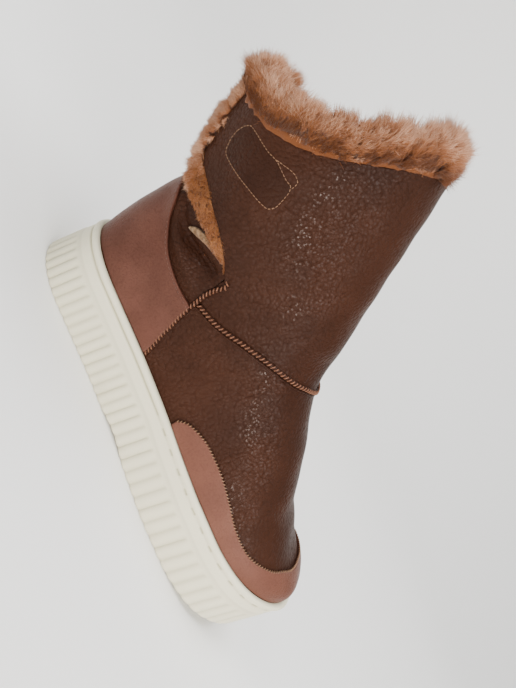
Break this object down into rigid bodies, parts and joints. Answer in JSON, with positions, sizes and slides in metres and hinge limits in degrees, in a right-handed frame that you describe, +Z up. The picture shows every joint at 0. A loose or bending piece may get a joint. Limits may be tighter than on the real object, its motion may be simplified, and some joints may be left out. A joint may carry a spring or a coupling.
{
  "type": "sheepskin boot",
  "caption": "Short pull-on sheepskin boot for the right foot: ribbed cup sole, pebbled leather upper, smooth heel counter and toe band, lapped closing flap and long wool collar.",
  "frame": {"origin": "on the floor, at the middle of the heel's flat tread", "axes": "+X forward to the toe, +Y to the wearer's left, which is the medial side of this right boot, +Z up"},
  "size_m": [0.3113, 0.1016, 0.2486],
  "materials": {
    "sole_rubber": "matt cream moulded rubber with upright ribs",
    "wool": "long ginger sheepskin wool",
    "dark_leather": "pebbled dark brown leather, half gloss",
    "red_leather": "smooth reddish brown leather, half gloss"
  },
  "bodies": {
    "root": {"sole": "sole_rubber", "insole": "wool", "upper": "dark_leather", "heel_counter": "red_leather", "toe_band": "red_leather", "closure_flap": "dark_leather", "wool_collar": "wool"}
  },
  "joints": []
}
